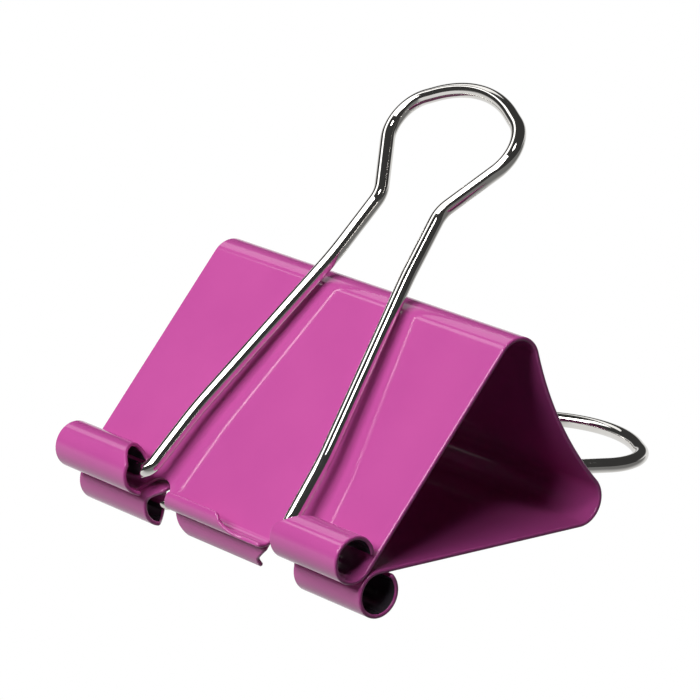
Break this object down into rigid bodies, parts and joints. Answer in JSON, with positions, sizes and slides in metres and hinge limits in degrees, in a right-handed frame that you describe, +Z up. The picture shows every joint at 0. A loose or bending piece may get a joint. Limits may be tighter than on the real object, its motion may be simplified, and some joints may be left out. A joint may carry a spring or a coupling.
{
  "type": "binder clip",
  "caption": "Large binder clip: a triangular spring-steel body with rolled jaw edges, enamelled pink, and wire handles that fold over it.",
  "frame": {"origin": "on the floor, under the middle of the clip's box as it stands on its lower barrels and lower handle", "axes": "+X along the clip's width, +Y from the jaws towards the spine, +Z up"},
  "size_m": [0.051, 0.0616, 0.0462],
  "materials": {
    "enamel": "glossy orchid-pink baked enamel on spring steel",
    "wire": "bright nickel-plated steel wire"
  },
  "bodies": {
    "spine": {"spine_panel": "enamel", "upper_bend": "enamel", "lower_bend": "enamel"},
    "upper_jaw": {"upper_jaw": "enamel"},
    "lower_jaw": {"lower_jaw": "enamel"},
    "upper_handle": {"upper_handle": "wire"},
    "lower_handle": {"lower_handle": "wire"}
  },
  "joints": [
    {"name": "upper_jaw_open", "type": "hinge", "parent": "spine", "child": "upper_jaw", "pos_m": [0, -0.00501, 0.02348], "axis": [-1, 0, 0], "range_deg": [0, 26], "stiffness_Nm_per_rad": 1.9, "deforming": ["upper_bend"]},
    {"name": "lower_jaw_open", "type": "hinge", "parent": "spine", "child": "lower_jaw", "pos_m": [0, 0.00343, 0.00569], "axis": [1, 0, 0], "range_deg": [0, 26], "stiffness_Nm_per_rad": 1.9, "deforming": ["lower_bend"]},
    {"name": "upper_handle_fold", "type": "hinge", "parent": "upper_jaw", "child": "upper_handle", "pos_m": [0, -0.02812, 0.00735], "axis": [1, 0, 0], "range_deg": [0, 170]},
    {"name": "lower_handle_fold", "type": "hinge", "parent": "lower_jaw", "child": "lower_handle", "pos_m": [0, -0.02509, 0.0027], "axis": [-1, 0, 0], "range_deg": [0, 144]}
  ],
  "couplings": [
    {"joint": "lower_jaw_open", "follows": "upper_jaw_open", "ratio": 1}
  ]
}
